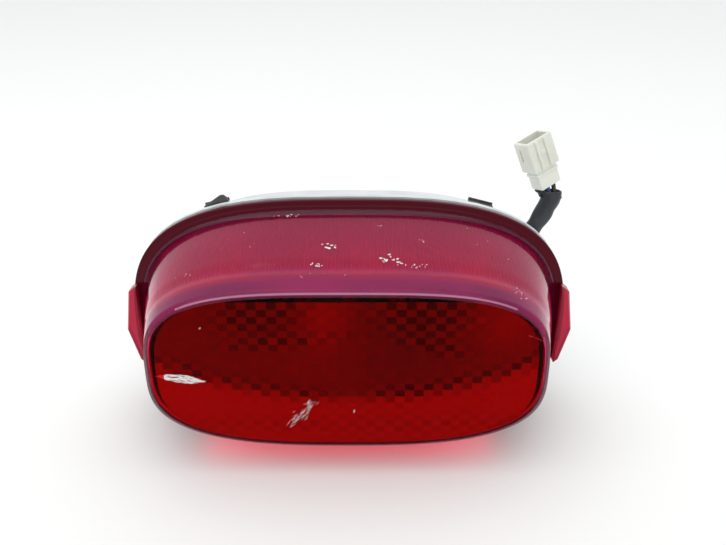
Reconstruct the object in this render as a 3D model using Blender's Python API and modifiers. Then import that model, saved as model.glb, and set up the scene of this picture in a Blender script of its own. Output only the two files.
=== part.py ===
"""Motorcycle tail light: red lens on a pale housing, two bayonet bulbs, mounting studs and a short harness.

The lens faces -Y, +X is to its right and +Z is up. The lamp stands on its rim and on the housing's rear foot.
"""
import math

import bmesh
import bpy
from mathutils import Matrix, Vector

MM = 0.001
GAP = 0.3 * MM

# Rim: the outline that the lens, the gasket and the housing share
RIM_HALF_WIDTH = 105.5 * MM
RIM_BOTTOM = 0.0
RIM_MIDDLE = 43 * MM
RIM_TOP = 109.2 * MM
RIM_POWER_TOP = 3.0
RIM_POWER_BOTTOM = 3.0
RING_POINTS = 56

# Lens
LENS_DEPTH = 64 * MM
FACE_HALF_WIDTH = 85 * MM
FACE_BOTTOM = 15 * MM
FACE_MIDDLE = 51 * MM
FACE_TOP = 91.5 * MM
FACE_POWER_TOP = 3.5
FACE_POWER_BOTTOM = 2.8
FACE_BULGE = 2 * MM
LENS_WALL = 2.6 * MM
TOP_LIP = 4.4 * MM
SIDE_LIP = 4.5 * MM
BOTTOM_LIP = 3.5 * MM
FLANGE_THICKNESS = 3 * MM
SEAM_HALF = 1 * MM
VALLEY_DEPTH = 0.9 * MM
EAR_REACH = 110 * MM
EAR_TOP = 64 * MM
EAR_KNEE = 43 * MM
EAR_BOTTOM = 25 * MM
EAR_THICKNESS = 8 * MM

# Housing
HOUSING_DEPTH = 42 * MM
HOUSING_WALL = 2.4 * MM
HOUSING_STEP = 7 * MM
HOUSING_DRAFT = 3 * MM
HOUSING_SHOULDER = 1.9 * MM
SHOULDER_BACK = 9.5 * MM
FOOT_HALF_WIDTH = 20 * MM
FOOT_FRONT = 27 * MM
FOOT_BACK = 40 * MM
FOOT_TOP = 11.5 * MM

# Bulbs, their holders and the reflector bowls
BULB_X = 42 * MM
BULB_Z = 55 * MM
HOLDER_RADIUS = 13 * MM
HOLDER_BACK = 58 * MM
COLLAR_RADIUS = 19 * MM
COLLAR_BACK = 45.6 * MM
GRIP_RADIUS = 12 * MM
HOLDER_FLANGE_RADIUS = 17.5 * MM
HOLDER_FLANGE = (47.6 * MM, 50.6 * MM)
HOLDER_FRONT = 24 * MM
HOLDER_BORE_BACK = 55 * MM
WING_REACH = (10 * MM, 17 * MM)
SEAL_FACES = (45.9 * MM, 47.3 * MM)
SHELL_RADIUS = 8.55 * MM
SHELL_BORE = 7.85 * MM
BASE_RADIUS = 7.5 * MM
GLASS_RADIUS = 12.5 * MM
GLASS_WALL = 0.8 * MM
HOLDER_TURN = math.radians(45)
PUSH_TRAVEL = 2.5 * MM
TURN_ANGLE = math.radians(20)
PIN_RADIUS = 1 * MM
PIN_Y = 31 * MM
REFLECTOR_FRONT = 5 * MM
REFLECTOR_BACK = 30 * MM
REFLECTOR_WALL = 1.6 * MM
BOWL_CENTRE = 45.4 * MM
BOWL_HALF_WIDTH = 42.4 * MM
BOWL_HALF_HEIGHT = 34 * MM
BULB_HOLE = 14.5 * MM

# Mounting studs: centres as (x, z)
STUD_CENTRES = {"left": (-64 * MM, 30 * MM), "right": (64 * MM, 30 * MM), "upper": (0.0, 84 * MM)}
STUD_RADIUS = 3 * MM
STUD_END = 66 * MM
BOSS_RADIUS = 9 * MM
BOSS_BACK = 46 * MM
NUT_HALF_FLAT = 5 * MM

# Spring clips over the rim: angle round the rim outline
CLIP_ANGLES = {"top_right": 62.5, "top_left": 117.5}
CLIP_WIDTH = 12 * MM
CLIP_THICKNESS = 0.8 * MM
CLIP_FRONT = 4.7 * MM
CLIP_BACK = 9.2 * MM
CLIP_FLOOR = -1.1 * MM
CLIP_TOP = 0.5 * MM
LUG_TOP = 3.4 * MM

# Harness
SLEEVE_RADIUS = 4.5 * MM
LEAD_RADIUS = 1.9 * MM
SLEEVE_ROUTE = (
    (73, 48.6, 47), (83, 48.8, 52), (92.5, 49.2, 62.5), (99.5, 50, 74), (104.4, 50, 83.5), (107, 50, 91),
    (104.6, 50, 97.4),
)
LEFT_LEAD_ROUTE = (
    (-42, 58.9, 55), (-42, 61, 55), (-40.4, 63, 52.6), (-33, 63, 46), (-12, 60, 37), (15, 57, 31),
    (36, 54.5, 31), (50, 53.5, 36), (61, 50.5, 41), (72.6, 48.6, 44.2),
)
RIGHT_LEAD_ROUTE = (
    (42, 58.9, 55), (42, 61, 55), (43.4, 63, 52.4), (49, 62.5, 48), (56, 58, 47), (63, 52.5, 47.5),
    (70.6, 48.6, 48.4),
)
CONNECTOR_TILT = math.radians(-22)
CONNECTOR_YAW = math.radians(28)
CONNECTOR_WIDTH = 16.5 * MM
CONNECTOR_THICKNESS = 11.5 * MM
CONNECTOR_LENGTH = 27.5 * MM
CONNECTOR_TAIL = 11.5 * MM
MOUTH_DEPTH = 12 * MM
CONNECTOR_GAP = 0.8 * MM

for old in list(bpy.data.objects):
    bpy.data.objects.remove(old)

parts = bpy.data.collections.new("tail_light")
bpy.context.scene.collection.children.link(parts)
cutters = bpy.data.collections.new("cutters")
bpy.context.scene.collection.children.link(cutters)


def material(name, color, roughness, metallic=0.0, transmission=0.0):
    """A Principled material in one plain colour."""
    result = bpy.data.materials.new(name)
    result.use_nodes = True
    shader = result.node_tree.nodes["Principled BSDF"]
    shader.inputs["Base Color"].default_value = (*color, 1.0)
    shader.inputs["Roughness"].default_value = roughness
    shader.inputs["Metallic"].default_value = metallic
    shader.inputs["Transmission Weight"].default_value = transmission
    return result


def add(name, mesh, look, collection=parts):
    """Put a mesh in the scene as a named object with its own material."""
    thing = bpy.data.objects.new(name, mesh)
    collection.objects.link(thing)
    if look is not None:
        mesh.materials.append(look)
    return thing


def as_cutter(thing):
    """Keep a helper solid out of the renders and out of the assembly."""
    thing.hide_render = True
    thing.display_type = "WIRE"
    return thing


def shade(thing, degrees=35):
    """Smooth shading with sharp edges kept."""
    thing.data.shade_smooth()
    thing.data.set_sharp_from_angle(angle=math.radians(degrees))


def mesh_from(name, build):
    """Run a bmesh builder and turn its result into a mesh."""
    work = bmesh.new()
    build(work)
    mesh = bpy.data.meshes.new(name)
    work.to_mesh(mesh)
    work.free()
    return mesh


def box_mesh(name, low, high):
    """An axis-aligned box between two corners."""
    size = Vector(high) - Vector(low)
    centre = (Vector(high) + Vector(low)) / 2

    def build(work):
        place = Matrix.Translation(centre) @ Matrix.Diagonal((*size, 1.0))
        bmesh.ops.create_cube(work, size=1.0, matrix=place)

    return mesh_from(name, build)


def cylinder_mesh(name, radius, start, end, centre=(0.0, 0.0), segments=32):
    """A cylinder along Y from start to end, centred on an (x, z) point."""
    middle = Matrix.Translation((centre[0], (start + end) / 2, centre[1]))
    turn = Matrix.Rotation(math.radians(-90), 4, "X")

    def build(work):
        bmesh.ops.create_cone(
            work, cap_ends=True, segments=segments, radius1=radius, radius2=radius,
            depth=end - start, matrix=middle @ turn,
        )

    return mesh_from(name, build)


def cutter(name, mesh):
    """A helper solid for a Boolean."""
    return as_cutter(add(name, mesh, None, cutters))


def combine(thing, other, operation):
    """Join a helper solid to an object, or cut it away."""
    step = thing.modifiers.new(other.name, "BOOLEAN")
    step.operation = operation
    step.solver = "EXACT"
    step.object = other


def loft_mesh(name, loops, ring=False):
    """A closed solid through loops of points. A ring joins its last loop to its first and has no caps."""
    def build(work):
        rows = [[work.verts.new(point) for point in loop] for loop in loops]
        pairs = list(zip(rows, rows[1:]))
        if ring:
            pairs.append((rows[-1], rows[0]))
        for near, far in pairs:
            for index in range(len(near)):
                following = (index + 1) % len(near)
                work.faces.new((near[index], near[following], far[following], far[index]))
        if not ring:
            work.faces.new(list(reversed(rows[0])))
            work.faces.new(rows[-1])
        bmesh.ops.recalc_face_normals(work, faces=work.faces)

    return mesh_from(name, build)


def extruded_mesh(name, outline, place, depth):
    """A flat outline pushed along a direction. place maps an outline point to its start position."""
    def build(work):
        start = [work.verts.new(place(point)) for point in outline]
        end = [work.verts.new(Vector(place(point)) + Vector(depth)) for point in outline]
        count = len(outline)
        for index in range(count):
            following = (index + 1) % count
            work.faces.new((start[index], start[following], end[following], end[index]))
        work.faces.new(list(reversed(start)))
        work.faces.new(end)
        bmesh.ops.recalc_face_normals(work, faces=work.faces)

    return mesh_from(name, build)


def turned(name, profile, look, centre=(0.0, 0.0), closed=False, steps=28):
    """A turned piece along Y. profile holds (radius, y) pairs from its back end down its outer side."""
    def build(work):
        corners = [work.verts.new((radius, 0.0, along)) for radius, along in profile]
        for first, second in zip(corners, corners[1:]):
            work.edges.new((first, second))
        if closed:
            work.edges.new((corners[-1], corners[0]))

    thing = add(name, mesh_from(name, build), look)
    spin = thing.modifiers.new("turn", "SCREW")
    spin.steps = steps
    spin.render_steps = steps
    spin.use_merge_vertices = True
    spin.merge_threshold = 0.00001
    thing.location = (centre[0], 0.0, centre[1])
    thing.rotation_euler = (math.radians(-90), 0.0, 0.0)
    return thing


def smooth_route(points, step):
    """Points every step along a Catmull-Rom curve through a route's own points, given in millimetres."""
    knots = [Vector(point) * MM for point in points]
    padded = [2 * knots[0] - knots[1], *knots, 2 * knots[-1] - knots[-2]]
    fine = []
    for index in range(1, len(padded) - 2):
        before, here, there, after = padded[index - 1:index + 3]
        for part in range(24):
            t = part / 24
            fine.append(0.5 * (
                2 * here + (there - before) * t
                + (2 * before - 5 * here + 4 * there - after) * t ** 2
                + (3 * here - before - 3 * there + after) * t ** 3
            ))
    fine.append(knots[-1])
    total = sum((second - first).length for first, second in zip(fine, fine[1:]))
    count = max(2, round(total / step))
    spaced = [fine[0]]
    walked = 0.0
    for first, second in zip(fine, fine[1:]):
        walked += (second - first).length
        if walked >= total / count * len(spaced) and len(spaced) < count:
            spaced.append(second)
    spaced.append(fine[-1])
    return spaced


def tube(name, points, radius, look, resolution=2):
    """A round tube with filled ends along a list of points."""
    path = bpy.data.curves.new(name, "CURVE")
    path.dimensions = "3D"
    path.bevel_depth = radius
    path.bevel_resolution = resolution
    path.use_fill_caps = True
    spline = path.splines.new("POLY")
    spline.points.add(len(points) - 1)
    for target, point in zip(spline.points, points):
        target.co = (*point, 1.0)
    path.materials.append(look)
    thing = bpy.data.objects.new(name, path)
    parts.objects.link(thing)
    return thing


def signed_power(value, power):
    return math.copysign(abs(value) ** power, value)


def oval_point(angle, half_width, bottom, middle, top, power_top, power_bottom):
    """A point (x, z) on an outline whose upper and lower halves have their own height and squareness."""
    up = math.sin(angle) >= 0
    power = 2 / (power_top if up else power_bottom)
    height = top - middle if up else middle - bottom
    x = half_width * signed_power(math.cos(angle), power)
    return x, middle + height * signed_power(math.sin(angle), power)


def oval_loop(y, inset, shape, scale=1.0):
    """The outline at one depth, drawn in by an inset, and shrunk about its middle by a scale."""
    half_width, bottom, middle, top, power_top, power_bottom = shape
    loop = []
    for index in range(RING_POINTS):
        angle = 2 * math.pi * index / RING_POINTS
        x, z = oval_point(
            angle, half_width - inset, bottom + inset, middle, top - inset, power_top, power_bottom,
        )
        loop.append((x * scale, y, middle + (z - middle) * scale))
    return loop


RIM_SHAPE = (RIM_HALF_WIDTH, RIM_BOTTOM, RIM_MIDDLE, RIM_TOP, RIM_POWER_TOP, RIM_POWER_BOTTOM)
FACE_SHAPE = (FACE_HALF_WIDTH, FACE_BOTTOM, FACE_MIDDLE, FACE_TOP, FACE_POWER_TOP, FACE_POWER_BOTTOM)
WALL_SHAPE = (
    RIM_HALF_WIDTH - SIDE_LIP, RIM_BOTTOM + BOTTOM_LIP, RIM_MIDDLE, RIM_TOP - TOP_LIP,
    RIM_POWER_TOP, RIM_POWER_BOTTOM,
)


def lens_shape(depth, dip=0.0):
    """The lens wall's outline between the rim (0) and the face (1), with its top lowered by a dip."""
    half_width, bottom, middle, top, power_top, power_bottom = (
        rim + (face - rim) * depth for rim, face in zip(WALL_SHAPE, FACE_SHAPE)
    )
    return half_width, bottom, middle, top - dip, power_top, power_bottom


def lens_wall_loops(wall):
    """Loops along one skin of the lens, from behind the flange to the middle of the face."""
    flange_back = -SEAM_HALF - GAP
    loops = []
    for depth, dip in ((0.08, 0.0), (0.35, 0.0), (0.6, 0.2), (0.72, 1.0), (0.8, 0.2), (0.95, 0.0)):
        y = flange_back - LENS_DEPTH * depth + wall * depth
        loops.append(oval_loop(y, wall, lens_shape(depth, VALLEY_DEPTH * dip)))
    loops.append(oval_loop(-LENS_DEPTH + wall + 0.6 * MM, wall + 0.9 * MM, FACE_SHAPE))
    loops.append(oval_loop(-LENS_DEPTH + wall - 0.3 * MM, wall + 3 * MM, FACE_SHAPE))
    for scale in (0.72, 0.42, 0.14):
        bulge = FACE_BULGE * (1 - scale ** 2)
        loops.append(oval_loop(-LENS_DEPTH + wall - bulge, wall, FACE_SHAPE, scale))
    return loops


def make_lens(look):
    """The red shell: flange, tapering wall with a shallow valley before the front lip, and a bulged face."""
    flange_back = -SEAM_HALF - GAP
    flange_front = flange_back - FLANGE_THICKNESS
    outer = [
        oval_loop(flange_back, 0.0, RIM_SHAPE),
        oval_loop(flange_front, 0.0, RIM_SHAPE),
        oval_loop(flange_front, 0.0, WALL_SHAPE),
        *lens_wall_loops(0.0),
    ]
    inner = [
        *reversed(lens_wall_loops(LENS_WALL)),
        oval_loop(flange_back, LENS_WALL, WALL_SHAPE),
    ]
    lens = add("lens", loft_mesh("lens", [*inner, *outer]), look)
    root = RIM_HALF_WIDTH - SIDE_LIP
    for side, sign in (("left", -1), ("right", 1)):
        outline = [
            (root, EAR_TOP + 3 * MM), (RIM_HALF_WIDTH + 1 * MM, EAR_TOP), (EAR_REACH, EAR_KNEE),
            (RIM_HALF_WIDTH - 1 * MM, EAR_BOTTOM), (root, EAR_BOTTOM - 2 * MM),
        ]
        mesh = extruded_mesh(
            side + "_ear", outline, lambda point: (sign * point[0], flange_back - EAR_THICKNESS, point[1]),
            (0.0, EAR_THICKNESS - 0.02 * MM, 0.0),
        )
        combine(lens, cutter(side + "_ear", mesh), "UNION")
    shade(lens)
    return lens


def make_gasket(look):
    """The rubber seal in the seam between the lens and the housing."""
    inset = 0.8 * MM
    width = 5 * MM
    loops = [
        oval_loop(-SEAM_HALF, inset, RIM_SHAPE), oval_loop(SEAM_HALF, inset, RIM_SHAPE),
        oval_loop(SEAM_HALF, inset + width, RIM_SHAPE), oval_loop(-SEAM_HALF, inset + width, RIM_SHAPE),
    ]
    return add("lens_gasket", loft_mesh("lens_gasket", loops, ring=True), look)


def housing_loops(wall, start=0.0):
    """Loops along one skin of the housing's wall and back, from the rim to the rear face."""
    loops = []
    for depth in (start, 0.5, 0.9):
        y = SEAM_HALF + GAP + FLANGE_THICKNESS + (HOUSING_DEPTH - 6 * MM) * depth - wall * depth
        loops.append(oval_loop(y, HOUSING_STEP + HOUSING_DRAFT * depth + wall, RIM_SHAPE))
    inset = HOUSING_STEP + HOUSING_DRAFT + wall
    loops.append(oval_loop(HOUSING_DEPTH - wall - 0.8 * MM, inset + 1 * MM, RIM_SHAPE))
    loops.append(oval_loop(HOUSING_DEPTH - wall, inset + 3.5 * MM, RIM_SHAPE))
    return loops


def make_housing(look):
    """The pale housing: flange, shoulder, wall, flat back with two collars, three bosses and a foot."""
    flange_front = SEAM_HALF + GAP
    flange_back = flange_front + FLANGE_THICKNESS
    outer = [
        oval_loop(flange_front, 0.0, RIM_SHAPE), oval_loop(flange_back, 0.0, RIM_SHAPE),
        oval_loop(flange_back, HOUSING_SHOULDER, RIM_SHAPE),
        oval_loop(SHOULDER_BACK, HOUSING_SHOULDER + 0.3 * MM, RIM_SHAPE),
        *housing_loops(0.0, (SHOULDER_BACK - flange_back) / (HOUSING_DEPTH - 6 * MM)),
    ]
    inner = [
        *reversed(housing_loops(HOUSING_WALL)),
        oval_loop(flange_front, HOUSING_STEP + HOUSING_WALL, RIM_SHAPE),
    ]
    housing = add("housing", loft_mesh("housing", [*inner, *outer]), look)
    back_inside = HOUSING_DEPTH - HOUSING_WALL
    for side, x in (("left", -BULB_X), ("right", BULB_X)):
        mesh = cylinder_mesh(side + "_collar", COLLAR_RADIUS, back_inside + MM, COLLAR_BACK, (x, BULB_Z), 40)
        combine(housing, cutter(side + "_collar", mesh), "UNION")
    for side, centre in STUD_CENTRES.items():
        mesh = cylinder_mesh(side + "_boss", BOSS_RADIUS, back_inside + MM, BOSS_BACK, centre, 24)
        combine(housing, cutter(side + "_boss", mesh), "UNION")
    foot = box_mesh("foot", (-FOOT_HALF_WIDTH, FOOT_FRONT, 0.0), (FOOT_HALF_WIDTH, FOOT_BACK, FOOT_TOP))
    combine(housing, cutter("foot", foot), "UNION")
    for side, x in (("left", -BULB_X), ("right", BULB_X)):
        hole = cylinder_mesh(side + "_bulb_hole", HOLDER_RADIUS + 0.5 * MM, 30 * MM, 50 * MM, (x, BULB_Z), 40)
        combine(housing, cutter(side + "_bulb_hole", hole), "DIFFERENCE")
        notch = box_mesh(
            side + "_tab_notch", (x - HOLDER_RADIUS - 3.2 * MM, 30 * MM, BULB_Z - 4.5 * MM),
            (x + HOLDER_RADIUS + 3.2 * MM, 50 * MM, BULB_Z + 4.5 * MM),
        )
        combine(housing, cutter(side + "_tab_notch", notch), "DIFFERENCE")
    for side, centre in STUD_CENTRES.items():
        hole = cylinder_mesh(side + "_stud_hole", STUD_RADIUS + GAP, 30 * MM, 50 * MM, centre, 24)
        combine(housing, cutter(side + "_stud_hole", hole), "DIFFERENCE")
    shade(housing)
    return housing


def bowl_loops(x, grow):
    """Loops of one reflector bowl, from its rounded oblong front to the round bulb hole."""
    count = 32
    loops = []
    for step in (0.0, 0.12, 0.3, 0.52, 0.76, 1.0):
        narrow = step ** 0.72
        half_width = (BOWL_HALF_WIDTH * (1 - narrow)) + BULB_HOLE * narrow + grow
        half_height = (BOWL_HALF_HEIGHT * (1 - narrow)) + BULB_HOLE * narrow + grow
        power = 2.7 - 0.7 * narrow
        centre_x = math.copysign(BOWL_CENTRE, x) * (1 - narrow) + x * narrow
        y = REFLECTOR_FRONT + (REFLECTOR_BACK - REFLECTOR_FRONT) * step
        loop = []
        for index in range(count):
            angle = 2 * math.pi * index / count
            loop.append((
                centre_x + half_width * signed_power(math.cos(angle), 2 / power), y,
                BULB_Z + half_height * signed_power(math.sin(angle), 2 / power),
            ))
        loops.append(loop)
    return loops


def make_reflector(look):
    """The silvered insert: a plate across the housing's front, and two bowls with a divider between."""
    inset = HOUSING_STEP + HOUSING_WALL + 1.2 * MM
    plate = [
        oval_loop(REFLECTOR_FRONT, inset, RIM_SHAPE),
        oval_loop(REFLECTOR_FRONT + REFLECTOR_WALL, inset, RIM_SHAPE),
    ]
    reflector = add("reflector", loft_mesh("reflector", plate), look)
    for side, x in (("left", -BULB_X), ("right", BULB_X)):
        outside = bowl_loops(x, REFLECTOR_WALL)
        outside[0] = [(px, REFLECTOR_FRONT + 0.4 * MM, pz) for px, _, pz in outside[0]]
        name = side + "_bowl_outside"
        combine(reflector, cutter(name, loft_mesh(name, outside)), "UNION")
    for side, x in (("left", -BULB_X), ("right", BULB_X)):
        inside = bowl_loops(x, 0.0)
        inside.insert(0, [(px, REFLECTOR_FRONT - 3 * MM, pz) for px, _, pz in inside[0]])
        inside.append([(px, REFLECTOR_BACK + 3 * MM, pz) for px, _, pz in inside[-1]])
        hollow = cutter(side + "_bowl_inside", loft_mesh(side + "_bowl_inside", inside))
        combine(reflector, hollow, "DIFFERENCE")
    shade(reflector)
    return reflector


def make_holder(side, x, look):
    """A quarter-turn bulb holder: a plug with two locking tabs, a flange, and a grip with two wings."""
    name = side + "_bulb_holder"
    centre = (x, BULB_Z)
    bore = SHELL_RADIUS + 0.35 * MM
    profile = [
        (0.0, HOLDER_BACK), (GRIP_RADIUS - MM, HOLDER_BACK), (GRIP_RADIUS, HOLDER_BACK - MM),
        (GRIP_RADIUS, HOLDER_FLANGE[1]), (HOLDER_FLANGE_RADIUS, HOLDER_FLANGE[1]),
        (HOLDER_FLANGE_RADIUS, HOLDER_FLANGE[0]), (HOLDER_RADIUS, HOLDER_FLANGE[0]),
        (HOLDER_RADIUS, HOLDER_FRONT), (bore, HOLDER_FRONT), (bore, HOLDER_BORE_BACK),
        (0.0, HOLDER_BORE_BACK),
    ]
    holder = turned(name, profile, look, centre, steps=32)
    tabs = cutter(name + "_tabs", box_mesh(
        name + "_tabs", (x - HOLDER_RADIUS - 2.4 * MM, 36.5 * MM, BULB_Z - 3.2 * MM),
        (x + HOLDER_RADIUS + 2.4 * MM, 39.2 * MM, BULB_Z + 3.2 * MM),
    ))
    core = cylinder_mesh(name + "_tab_core", HOLDER_RADIUS - MM, 30 * MM, 45 * MM, centre)
    combine(tabs, cutter(name + "_tab_core", core), "DIFFERENCE")
    locked = Matrix.Translation((x, 0.0, BULB_Z)) @ Matrix.Rotation(-HOLDER_TURN, 4, "Y")
    tabs.data.transform(locked @ Matrix.Translation((-x, 0.0, -BULB_Z)))
    return holder, tabs


def make_bulb_unit(side, x, looks):
    """Everything that comes out with one holder: seal, socket, contact plate, spring and bulb."""
    centre = (x, BULB_Z)
    holder, tabs = make_holder(side, x, looks["holder"])
    for end, wing_z in (("lower", BULB_Z - WING_REACH[1]), ("upper", BULB_Z + WING_REACH[0])):
        name = f"{side}_{end}_wing"
        wing_top = wing_z + WING_REACH[1] - WING_REACH[0]
        wing = box_mesh(name, (x - 1.6 * MM, 50.2 * MM, wing_z), (x + 1.6 * MM, 57 * MM, wing_top))
        combine(holder, cutter(name, wing), "UNION")
    combine(holder, tabs, "UNION")

    seal = [
        (17 * MM, SEAL_FACES[1]), (17 * MM, SEAL_FACES[0]),
        (14 * MM, SEAL_FACES[0]), (14 * MM, SEAL_FACES[1]),
    ]
    turned(side + "_holder_seal", seal, looks["rubber"], centre, closed=True, steps=32)

    shell = [(SHELL_RADIUS, 49 * MM), (SHELL_RADIUS, 25 * MM), (SHELL_BORE, 25 * MM), (SHELL_BORE, 49 * MM)]
    socket = turned(side + "_socket_shell", shell, looks["steel"], centre, closed=True, steps=32)
    pocket_half = SHELL_RADIUS * TURN_ANGLE / 2 + PIN_RADIUS + 0.5 * MM
    for pin_side in (-1, 1):
        reach = (x + pin_side * 6 * MM, x + pin_side * 10 * MM)
        lean = pin_side * SHELL_RADIUS * TURN_ANGLE / 2
        pocket = box_mesh(
            f"{side}_pocket_{pin_side}",
            (min(reach), PIN_Y - PIN_RADIUS - 0.4 * MM, BULB_Z + lean - pocket_half),
            (max(reach), PIN_Y + PIN_RADIUS + PUSH_TRAVEL + 0.5 * MM, BULB_Z + lean + pocket_half),
        )
        combine(socket, cutter(f"{side}_pocket_{pin_side}", pocket), "DIFFERENCE")
        turned_z = BULB_Z + pin_side * SHELL_RADIUS * math.sin(TURN_ANGLE)
        channel = box_mesh(
            f"{side}_channel_{pin_side}", (min(reach), 22 * MM, turned_z - 1.4 * MM),
            (max(reach), PIN_Y, turned_z + 1.4 * MM),
        )
        combine(socket, cutter(f"{side}_channel_{pin_side}", channel), "DIFFERENCE")

    plate = [
        (0.0, 48.2 * MM), (7.2 * MM, 48.2 * MM), (7.2 * MM, 46.6 * MM), (3 * MM, 46.4 * MM), (0.0, 46.4 * MM),
    ]
    turned(side + "_contact_plate", plate, looks["phenolic"], centre, steps=24)

    turns = 4
    coil = []
    points_per_turn = 8
    for index in range(turns * points_per_turn + 1):
        angle = 2 * math.pi * index / points_per_turn
        along = (49 + 5.2 * index / (turns * points_per_turn)) * MM
        coil.append((x + 5 * MM * math.cos(angle), along, BULB_Z + 5 * MM * math.sin(angle)))
    tube(side + "_contact_spring", coil, 0.4 * MM, looks["steel"])

    base = [
        (0.0, 46 * MM), (4 * MM, 46 * MM), (BASE_RADIUS, 44.6 * MM), (BASE_RADIUS, 29.5 * MM),
        (7 * MM, 29 * MM), (0.0, 29 * MM),
    ]
    cap = turned(side + "_bulb_base", base, looks["brass"], centre, steps=24)
    pins_turn = Matrix.Translation((x, PIN_Y, BULB_Z)) @ Matrix.Rotation(math.radians(90), 4, "Y")

    def build_pins(work):
        bmesh.ops.create_cone(
            work, cap_ends=True, segments=10, radius1=PIN_RADIUS, radius2=PIN_RADIUS, depth=16.8 * MM,
            matrix=pins_turn,
        )

    combine(cap, cutter(side + "_pins", mesh_from(side + "_pins", build_pins)), "UNION")

    ball_y = 6.5 * MM
    neck = 6.8 * MM
    outer_sweep = math.acos(-math.sqrt(1 - (neck / GLASS_RADIUS) ** 2))
    inner_radius = GLASS_RADIUS - GLASS_WALL
    inner_sweep = math.acos(-math.sqrt(1 - ((neck - GLASS_WALL) / inner_radius) ** 2))
    arc = 8
    outside = []
    inside = []
    for index in range(arc + 1):
        sweep = outer_sweep * index / arc
        outside.append((GLASS_RADIUS * math.sin(sweep), ball_y - GLASS_RADIUS * math.cos(sweep)))
        sweep = inner_sweep * index / arc
        inside.append((inner_radius * math.sin(sweep), ball_y - inner_radius * math.cos(sweep)))
    outside[0] = (0.0, ball_y - GLASS_RADIUS)
    inside[0] = (0.0, ball_y - inner_radius)
    profile = [*inside, (neck - GLASS_WALL, 28.7 * MM), (neck, 28.7 * MM), *reversed(outside)]
    turned(side + "_bulb_glass", profile, looks["glass"], centre, steps=18)

    post = 2.6 * MM
    posts = [
        (x - post, 28.6 * MM, BULB_Z), (x - post, 16 * MM, BULB_Z), (x - post * 1.2, 8 * MM, BULB_Z),
        (x, 6.6 * MM, BULB_Z), (x + post * 1.2, 8 * MM, BULB_Z), (x + post, 16 * MM, BULB_Z),
        (x + post, 28.6 * MM, BULB_Z),
    ]
    tube(side + "_filament", posts, 0.35 * MM, looks["steel"])


def hexagon_loop(y, centre, half_flat, count):
    """A hexagon sampled evenly by angle, so that it pairs with a circle of as many points."""
    loop = []
    for index in range(count):
        angle = 2 * math.pi * index / count
        off = (angle + math.pi / 6) % (math.pi / 3) - math.pi / 6
        radius = half_flat / math.cos(off)
        loop.append((centre[0] + radius * math.cos(angle), y, centre[1] + radius * math.sin(angle)))
    return loop


def circle_loop(y, centre, radius, count):
    """A circle at one depth."""
    return [
        (
            centre[0] + radius * math.cos(2 * math.pi * index / count), y,
            centre[1] + radius * math.sin(2 * math.pi * index / count),
        )
        for index in range(count)
    ]


def make_stud_set(side, centre, looks):
    """A mounting stud with its washer and hexagon nut."""
    back_inside = HOUSING_DEPTH - HOUSING_WALL
    stud = [
        (0.0, STUD_END), (2.4 * MM, STUD_END), (STUD_RADIUS, STUD_END - 0.8 * MM),
        (STUD_RADIUS, back_inside - GAP), (6 * MM, back_inside - GAP), (6 * MM, 36.4 * MM), (0.0, 36.4 * MM),
    ]
    turned(side + "_stud", stud, looks["steel"], centre, steps=20)
    washer = [
        (7.5 * MM, 47.7 * MM), (7.5 * MM, 46.3 * MM),
        (STUD_RADIUS + GAP, 46.3 * MM), (STUD_RADIUS + GAP, 47.7 * MM),
    ]
    turned(side + "_washer", washer, looks["steel"], centre, closed=True, steps=24)
    count = 24
    near, far = 48 * MM, 53 * MM
    loops = [
        hexagon_loop(near, centre, NUT_HALF_FLAT, count), hexagon_loop(far, centre, NUT_HALF_FLAT, count),
        circle_loop(far, centre, STUD_RADIUS + GAP, count),
        circle_loop(near, centre, STUD_RADIUS + GAP, count),
    ]
    add(side + "_nut", loft_mesh(side + "_nut", loops, ring=True), looks["steel"])


def make_clip(name, degrees, look):
    """A spring-steel tab on the shoulder, its rear edge turned up. The left one has a raised lug."""
    angle = math.radians(degrees)
    x, z = oval_point(angle, *RIM_SHAPE)
    ahead = oval_point(angle + 0.01, *RIM_SHAPE)
    behind = oval_point(angle - 0.01, *RIM_SHAPE)
    lean = math.atan2(-(ahead[1] - behind[1]), ahead[0] - behind[0]) + math.pi
    thick = CLIP_THICKNESS
    outline = [
        (CLIP_FRONT, CLIP_FLOOR), (CLIP_BACK, CLIP_FLOOR), (CLIP_BACK, CLIP_TOP),
        (CLIP_BACK - thick, CLIP_TOP),
        (CLIP_BACK - thick, CLIP_FLOOR + thick), (CLIP_FRONT, CLIP_FLOOR + thick),
    ]
    half = CLIP_WIDTH / 2
    across = (CLIP_WIDTH, 0.0, 0.0)
    mesh = extruded_mesh(name + "_clip", outline, lambda point: (-half, point[0], point[1]), across)
    clip = add(name + "_clip", mesh, look)
    placed = [clip]
    if name == "top_left":
        lug = [
            (-half, CLIP_FLOOR + 0.1 * MM), (half, CLIP_FLOOR + 0.1 * MM), (half, 1.4 * MM),
            (half - 1.4 * MM, LUG_TOP - 0.2 * MM), (half - 3 * MM, LUG_TOP), (-half, 0.0),
        ]
        lug_y = CLIP_FRONT + 0.6 * MM
        mesh = extruded_mesh("clip_lug", lug, lambda point: (point[0], lug_y, point[1]), (0.0, thick, 0.0))
        placed.append(cutter("clip_lug", mesh))
        combine(clip, placed[1], "UNION")
    for piece in placed:
        piece.location = (x, 0.0, z)
        piece.rotation_euler = (0.0, lean, 0.0)
    return clip


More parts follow.
